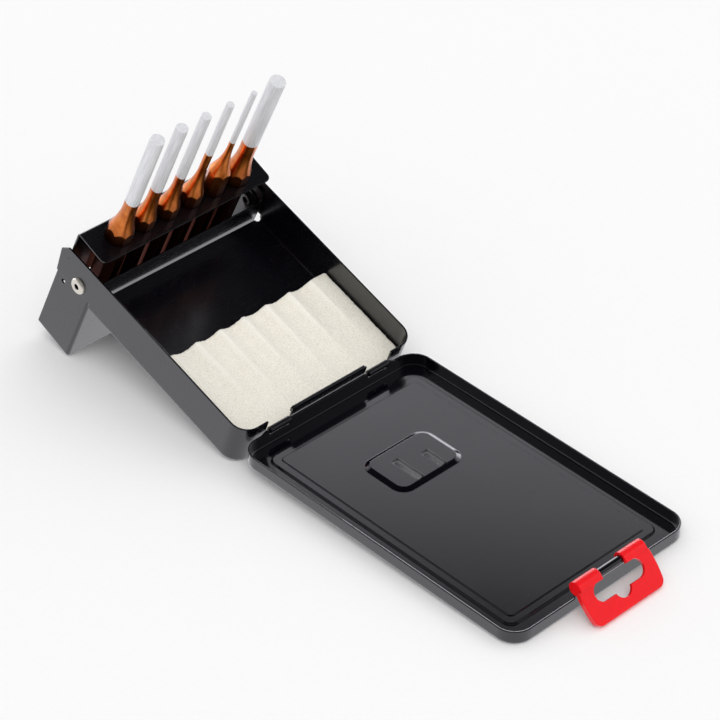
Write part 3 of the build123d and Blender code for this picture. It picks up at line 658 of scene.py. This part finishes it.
def rivetTree(metal, shadePaint):
    # two tubular rivets: one closed profile with rounded corners, swept round the bore and set on both
    # walls, with the tail inside given the holder's dark enamel as painted shade
    tree, given = newTree("tubularRivets", {
        "Bore": rivet["bore"], "Shank": rivet["shank"], "Head": rivet["head"],
        "Head Height": rivet["headHeight"], "Head Round": rivet["headRound"], "Grip": rivet["grip"],
        "Tail": rivet["tail"], "Tail Height": rivet["tailHeight"], "Tail Round": rivet["tailRound"],
        "Apart": 100.0 * mm, "Pivot": (0.0, 0.0, 0.0),
    })
    under = addNode(tree, "ShaderNodeMath", {0: given["Grip"], 1: -1.0}, operation="MULTIPLY")
    end = addNode(tree, "ShaderNodeMath", {0: under, 1: given["Tail Height"]}, operation="SUBTRACT")
    outline = (        # level, distance from the axis, rounding
        (given["Head Height"], given["Bore"], given["Tail Round"]),
        (given["Head Height"], given["Head"], given["Head Round"]),
        (0.0, given["Head"], 0.0),
        (0.0, given["Shank"], 0.0),
        (under, given["Shank"], 0.0),
        (under, given["Tail"], 0.0),
        (end, given["Tail"], given["Tail Round"]),
        (end, given["Bore"], given["Tail Round"]),
    )
    number = addNode(tree, "GeometryNodeInputIndex")
    points = {0: number}
    roundings = {0: number}
    for item, (level, half, rounding) in enumerate(outline, 1):
        below = addNode(tree, "ShaderNodeMath", {0: level, 1: -1.0}, operation="MULTIPLY")
        out = addNode(tree, "ShaderNodeMath", {0: half, 1: given["Bore"]}, operation="SUBTRACT")
        points[item] = addNode(tree, "ShaderNodeCombineXYZ", {"X": out, "Y": below})
        roundings[item] = rounding
    point = addNode(tree, "GeometryNodeIndexSwitch", points, items=len(outline), data_type="VECTOR")
    radius = addNode(tree, "GeometryNodeIndexSwitch", roundings, items=len(outline), data_type="FLOAT")
    line = addNode(tree, "GeometryNodeMeshLine", {"Count": len(outline)})
    drawn = addNode(tree, "GeometryNodeSetPosition", {"Geometry": line, "Position": point})
    curve = addNode(tree, "GeometryNodeMeshToCurve", {"Mesh": drawn})
    profile = addNode(tree, "GeometryNodeSetSplineCyclic", {"Geometry": curve, "Cyclic": True})
    softened = addNode(tree, "GeometryNodeFilletCurve", {
        "Curve": profile, "Count": rivet["roundSteps"], "Radius": radius, "Limit Radius": True,
    }, mode="POLY")
    ring = addNode(tree, "GeometryNodeCurvePrimitiveCircle", {
        "Resolution": rivet["turns"], "Radius": given["Bore"],
    })
    turned = addNode(tree, "GeometryNodeCurveToMesh", {"Curve": ring, "Profile Curve": softened})
    plated = addNode(tree, "GeometryNodeSetMaterial", {"Geometry": turned, "Material": metal})
    position = addNode(tree, "GeometryNodeInputPosition")
    at = addNode(tree, "ShaderNodeSeparateXYZ", {"Vector": position}).outputs
    # painted shade: the tail inside the holder is given dark enamel
    inside = addNode(tree, "ShaderNodeMath", {0: at["Z"], 1: -rivet["shadePaintFrom"]}, operation="LESS_THAN")
    shadedTail = addNode(tree, "GeometryNodeSetMaterial", {
        "Geometry": plated, "Selection": inside, "Material": shadePaint,
    })
    creased = creasedFrom(tree, shadedTail, rivet["sharpFrom"])
    left = addNode(tree, "ShaderNodeMath", {0: given["Apart"], 1: -0.5}, operation="MULTIPLY")
    start = addNode(tree, "ShaderNodeCombineXYZ", {"X": left})
    across = addNode(tree, "ShaderNodeCombineXYZ", {"X": given["Apart"]})
    walls = addNode(tree, "GeometryNodeMeshLine", {"Count": 2, "Start Location": start, "Offset": across})
    toSide = addNode(tree, "ShaderNodeMath", {0: number, 1: 0.5}, operation="SUBTRACT")
    outward = addNode(tree, "ShaderNodeMath", {0: toSide, 1: math.pi}, operation="MULTIPLY")
    side = addNode(tree, "ShaderNodeCombineXYZ", {"Y": outward})
    pair = addNode(tree, "GeometryNodeInstanceOnPoints", {
        "Points": walls, "Instance": creased, "Rotation": side,
    })
    placed = addNode(tree, "GeometryNodeTransform", {"Geometry": pair, "Translation": given["Pivot"]})
    real = addNode(tree, "GeometryNodeRealizeInstances", {"Geometry": placed})
    addNode(tree, "NodeGroupOutput", {"Geometry": real})
    return tree


def buildRivets():
    tree = rivetTree(platedMetal("nickelPlatedSteel", nickel), satinEnamel)
    low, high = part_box("tray")
    piece = grown("caseRivets", tree, {"Apart": high[0] - low[0], "Pivot": tuple(pivot)})
    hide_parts("rivet_left", "rivet_right")
    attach(piece, "tray")
    print("stage: rivets", len(piece.data.polygons))


buildRivets()

pad = dict(
    width=104.2 * mm, length=58.2 * mm, height=10.3 * mm, start=1.3 * mm, floor=0.8 * mm,
    corner=7.7 * mm, edge=1.2 * mm, sideEdge=1.4 * mm,
    grooves=6, pitch=14.2 * mm, grooveWidth=14.2 * mm, grooveBend=1.7, grooveFrom=0.12,
    endDepth=2.8 * mm, hingeDepth=0.3 * mm,
    lumps=0.5 * mm, lumpSize=7.0 * mm, tear=0.40 * mm, fray=0.9 * mm, tearSize=1.1 * mm,
    verticesAcross=241, verticesAlong=135, verticesUp=14, seed=7.0,
)
trayPlane = dict(        # the two joints in the tray's own plane
    hinge=(-0.80 * mm, 17.0 * mm), pivot=(114.0 * mm, 8.0 * mm),
)


def trayFrame():
    own = Vector(trayPlane["pivot"]) - Vector(trayPlane["hinge"])
    world = (pivot - hinge).yz
    tilt = math.atan2(world.y, world.x) - math.atan2(own.y, own.x)
    turn = Matrix.Rotation(tilt, 3, "X")
    return tilt, turn, hinge - turn @ Vector((0, *trayPlane["hinge"]))


def roundedOff(tree, inside, radius):
    # what a rounding of this radius takes away at a distance inside the edge
    short = addNode(tree, "ShaderNodeMath", {0: radius, 1: inside}, operation="SUBTRACT")
    near = addNode(tree, "ShaderNodeMath", {0: short, 1: 0.0}, operation="MAXIMUM")
    kept = thirdSide(tree, radius, near)
    return addNode(tree, "ShaderNodeMath", {0: radius, 1: kept}, operation="SUBTRACT")


def padTree(material):
    # a foam block with plan corners on the hinge side, a soft upper edge and six wide hollows that the
    # pins have pressed, which meet in sharp crests at the open end and fade towards the hinge
    tree, given = newTree("foamPad", {
        "Width": pad["width"], "Length": pad["length"], "Height": pad["height"], "Corner": pad["corner"],
        "Edge": pad["edge"], "Side Edge": pad["sideEdge"], "Grooves": pad["grooves"], "Pitch": pad["pitch"],
        "Groove Width": pad["grooveWidth"], "End Depth": pad["endDepth"], "Hinge Depth": pad["hingeDepth"],
        "Lumps": pad["lumps"], "Lump Size": pad["lumpSize"], "Tear": pad["tear"], "Fray": pad["fray"],
        "Seed": pad["seed"], "Lay": (0.0, 0.0, 0.0), "Tilt": 0.0,
    })
    size = addNode(tree, "ShaderNodeCombineXYZ", {
        "X": given["Width"], "Y": given["Length"], "Z": given["Height"],
    })
    block = addNode(tree, "GeometryNodeMeshCube", {
        "Size": size, "Vertices X": pad["verticesAcross"], "Vertices Y": pad["verticesAlong"],
        "Vertices Z": pad["verticesUp"],
    })
    position = addNode(tree, "GeometryNodeInputPosition")
    at = addNode(tree, "ShaderNodeSeparateXYZ", {"Vector": position}).outputs
    y = addNode(tree, "ShaderNodeMath", {0: given["Length"], 1: 0.5, 2: at["Y"]}, operation="MULTIPLY_ADD")
    upShare = addNode(tree, "ShaderNodeMath", {0: at["Z"], 1: given["Height"]}, operation="DIVIDE")
    share = addNode(tree, "ShaderNodeMath", {0: upShare, 1: 0.5}, operation="ADD")

    # plan corners on the hinge side draw each row in
    halfWidth = addNode(tree, "ShaderNodeMath", {0: given["Width"], 1: 2.0}, operation="DIVIDE")
    drawnIn = roundedOff(tree, y, given["Corner"])
    half = addNode(tree, "ShaderNodeMath", {0: halfWidth, 1: drawnIn}, operation="SUBTRACT")
    narrowed = addNode(tree, "ShaderNodeMath", {0: half, 1: halfWidth}, operation="DIVIDE")
    x = addNode(tree, "ShaderNodeMath", {0: at["X"], 1: narrowed}, operation="MULTIPLY")
    across = addNode(tree, "ShaderNodeMath", {0: x}, operation="ABSOLUTE")

    # soft edges all round the top
    fromEnd = addNode(tree, "ShaderNodeMath", {0: given["Length"], 1: y}, operation="SUBTRACT")
    fromEnds = addNode(tree, "ShaderNodeMath", {0: y, 1: fromEnd}, operation="MINIMUM")
    fromSides = addNode(tree, "ShaderNodeMath", {0: half, 1: across}, operation="SUBTRACT")
    endDrop = roundedOff(tree, fromEnds, given["Edge"])
    sideDrop = roundedOff(tree, fromSides, given["Side Edge"])
    drop = addNode(tree, "ShaderNodeMath", {0: endDrop, 1: sideDrop}, operation="ADD")

    # six hollows, deepest at the open end
    pitches = addNode(tree, "ShaderNodeMath", {0: across, 1: given["Pitch"]}, operation="DIVIDE")
    inPitch = addNode(tree, "ShaderNodeMath", {0: pitches}, operation="FRACT")
    offMiddle = addNode(tree, "ShaderNodeMath", {0: inPitch, 1: 0.5}, operation="SUBTRACT")
    offset = addNode(tree, "ShaderNodeMath", {0: offMiddle, 1: given["Pitch"]}, operation="MULTIPLY")
    halfGroove = addNode(tree, "ShaderNodeMath", {0: given["Groove Width"], 1: 2.0}, operation="DIVIDE")
    toCrest = addNode(tree, "ShaderNodeMath", {0: offset, 1: halfGroove}, operation="DIVIDE")
    part = addNode(tree, "ShaderNodeMath", {0: toCrest}, operation="ABSOLUTE")
    slope = addNode(tree, "ShaderNodeMath", {0: part, 1: pad["grooveBend"]}, operation="POWER")
    sunk = addNode(tree, "ShaderNodeMath", {0: 1.0, 1: slope}, operation="SUBTRACT")
    hollow = addNode(tree, "ShaderNodeMath", {0: sunk, 1: 0.0}, operation="MAXIMUM")
    halfGrooves = addNode(tree, "ShaderNodeMath", {0: given["Grooves"], 1: 2.0}, operation="DIVIDE")
    grooved = addNode(tree, "ShaderNodeMath", {0: given["Pitch"], 1: halfGrooves}, operation="MULTIPLY")
    within = addNode(tree, "ShaderNodeMath", {0: across, 1: grooved}, operation="LESS_THAN")
    along = addNode(tree, "ShaderNodeMath", {0: y, 1: given["Length"]}, operation="DIVIDE")
    depth = addNode(tree, "ShaderNodeMapRange", {
        "Value": along, "From Min": pad["grooveFrom"], "From Max": 1.0,
        "To Min": given["Hinge Depth"], "To Max": given["End Depth"],
    })
    dished = addNode(tree, "ShaderNodeMath", {0: hollow, 1: within}, operation="MULTIPLY")
    groove = addNode(tree, "ShaderNodeMath", {0: dished, 1: depth}, operation="MULTIPLY")
    raised = addNode(tree, "ShaderNodeMath", {0: 1.0, 1: hollow}, operation="SUBTRACT")
    depthShare = addNode(tree, "ShaderNodeMath", {0: depth, 1: given["End Depth"]}, operation="DIVIDE")
    worth = addNode(tree, "ShaderNodeMath", {0: within, 1: depthShare}, operation="MULTIPLY")
    crest = addNode(tree, "ShaderNodeMath", {0: raised, 1: worth}, operation="MULTIPLY")

    # wide lumps and a torn skin, which only ever take away
    lumpScale = addNode(tree, "ShaderNodeMath", {0: 1.0, 1: given["Lump Size"]}, operation="DIVIDE")
    swell = addNode(tree, "ShaderNodeTexNoise", {
        "W": given["Seed"], "Scale": lumpScale, "Detail": 4.0, "Roughness": 0.55,
    }, noise_dimensions="4D")
    torn = addNode(tree, "ShaderNodeTexNoise", {
        "W": given["Seed"], "Scale": 1 / pad["tearSize"], "Detail": 2.0,
    }, noise_dimensions="4D")
    lump = addNode(tree, "ShaderNodeMath", {0: swell, 1: 1.0}, operation="SUBTRACT")
    uneven = addNode(tree, "ShaderNodeMath", {0: lump, 1: given["Lumps"]}, operation="MULTIPLY")
    shred = addNode(tree, "ShaderNodeMath", {0: torn, 1: 1.0}, operation="SUBTRACT")
    tears = addNode(tree, "ShaderNodeMath", {0: shred, 1: given["Tear"]}, operation="MULTIPLY")
    rough = addNode(tree, "ShaderNodeMath", {0: uneven, 1: tears}, operation="ADD")
    rounded = addNode(tree, "ShaderNodeMath", {0: given["Height"], 1: drop}, operation="SUBTRACT")
    pressed = addNode(tree, "ShaderNodeMath", {0: rounded, 1: groove}, operation="SUBTRACT")
    top = addNode(tree, "ShaderNodeMath", {0: pressed, 1: rough}, operation="ADD")

    # frayed sides and ends
    loose = addNode(tree, "ShaderNodeSeparateXYZ", {"Vector": torn.outputs["Color"]}).outputs
    sway = addNode(tree, "ShaderNodeMath", {0: loose["X"], 1: 0.5}, operation="SUBTRACT")
    swayed = addNode(tree, "ShaderNodeMath", {0: sway, 1: given["Fray"]}, operation="MULTIPLY")
    outward = addNode(tree, "ShaderNodeMath", {0: x}, operation="SIGN")
    frayedX = addNode(tree, "ShaderNodeMath", {0: swayed, 1: outward, 2: x}, operation="MULTIPLY_ADD")
    pulled = addNode(tree, "ShaderNodeMath", {0: loose["Y"], 1: given["Fray"]}, operation="MULTIPLY")
    frayedY = addNode(tree, "ShaderNodeMath", {0: y, 1: pulled}, operation="SUBTRACT")
    z = addNode(tree, "ShaderNodeMath", {0: share, 1: top}, operation="MULTIPLY")
    place = addNode(tree, "ShaderNodeCombineXYZ", {"X": frayedX, "Y": frayedY, "Z": z})

    marked = addNode(tree, "GeometryNodeStoreNamedAttribute", {
        "Geometry": block.outputs["Mesh"], "Name": "crest", "Value": crest,
    }, data_type="FLOAT", domain="POINT")
    shaped = addNode(tree, "GeometryNodeSetPosition", {"Geometry": marked, "Position": place})
    smooth = addNode(tree, "GeometryNodeSetShadeSmooth", {"Geometry": shaped, "Shade Smooth": True})
    turned = addNode(tree, "ShaderNodeCombineXYZ", {"X": given["Tilt"]})
    laid = addNode(tree, "GeometryNodeTransform", {
        "Geometry": smooth, "Translation": given["Lay"], "Rotation": turned,
    })
    real = addNode(tree, "GeometryNodeRealizeInstances", {"Geometry": laid})
    painted = addNode(tree, "GeometryNodeSetMaterial", {"Geometry": real, "Material": material})
    addNode(tree, "NodeGroupOutput", {"Geometry": painted})
    return tree


foam = dict(
    crest="#f6f3ea", body="#f3efe4", pit="#e0dbce",
    cell=0.6 * mm, cellDepth=0.15 * mm,        # coarser than the real cells, so that they show
    cellStrength=0.35, cellFrom=0.15, cellFull=0.75,
    cloudSize=8 * mm, cloudWeight=0.35, pitFrom=0.3, pitFull=1.25,
    crestHighlightFrom=0.3, crestHighlightFull=0.9, crestHighlightMost=0.8,        # painted highlight: the crests are painted paler, where light catches them
    roughness=0.95, sheen=0.25, sheenRoughness=0.6,
    spread=0.35, spreadColour=(1.0, 0.95, 0.88), spreadDepth=2.0 * mm,
)


def openCellFoam():
    # off-white open-cell polyurethane foam, sawn to shape: no gloss at all, cells that show as a fine
    # grain, crests painted paler as a painted highlight, and light that spreads inside so that shadows stay
    # soft
    material, tree = newMaterial("openCellFoam")
    place = addNode(tree, "ShaderNodeTexCoord").outputs["Object"]
    crest = addNode(tree, "ShaderNodeAttribute", attribute_name="crest").outputs["Fac"]
    cells = addNode(tree, "ShaderNodeTexVoronoi", {"Vector": place, "Scale": 1 / foam["cell"]})
    pores = addNode(tree, "ShaderNodeMapRange", {
        "Value": cells.outputs["Distance"], "From Min": foam["cellFrom"], "From Max": foam["cellFull"],
    })
    cloud = addNode(tree, "ShaderNodeTexNoise", {
        "Vector": place, "Scale": 1 / foam["cloudSize"], "Detail": 4.0,
    })
    shade = addNode(tree, "ShaderNodeMath", {
        0: cloud, 1: foam["cloudWeight"], 2: pores,
    }, operation="MULTIPLY_ADD")
    depth = addNode(tree, "ShaderNodeMapRange", {
        "Value": shade, "From Min": foam["pitFrom"], "From Max": foam["pitFull"],
    })
    grain = addNode(tree, "ShaderNodeMix", {
        "Factor": depth, "A": linear(foam["body"]), "B": linear(foam["pit"]),
    }, data_type="RGBA")
    # painted highlight: the crests are painted paler
    crestHighlight = addNode(tree, "ShaderNodeMapRange", {
        "Value": crest, "From Min": foam["crestHighlightFrom"], "From Max": foam["crestHighlightFull"],
        "To Max": foam["crestHighlightMost"],
    })
    tone = addNode(tree, "ShaderNodeMix", {
        "Factor": crestHighlight, "A": grain, "B": linear(foam["crest"]),
    }, data_type="RGBA")
    bump = addNode(tree, "ShaderNodeBump", {
        "Height": pores, "Strength": foam["cellStrength"], "Distance": foam["cellDepth"],
    }, invert=True)
    shader = addNode(tree, "ShaderNodeBsdfPrincipled", {
        "Base Color": tone, "Roughness": foam["roughness"], "Normal": bump,
        "Sheen Weight": foam["sheen"], "Sheen Roughness": foam["sheenRoughness"],
        "Subsurface Weight": foam["spread"], "Subsurface Radius": foam["spreadColour"],
        "Subsurface Scale": foam["spreadDepth"],
    })
    addNode(tree, "ShaderNodeOutputMaterial", {"Surface": shader})
    return material


def buildPad():
    tilt, turn, origin = trayFrame()
    lay = turn @ Vector((0, pad["start"], pad["floor"])) + origin
    piece = grown("foamPad", padTree(openCellFoam()), {"Lay": tuple(lay), "Tilt": tilt})
    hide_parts("foam_pad")
    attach(piece, "tray")
    print("stage: foam pad", len(piece.data.polygons))


buildPad()
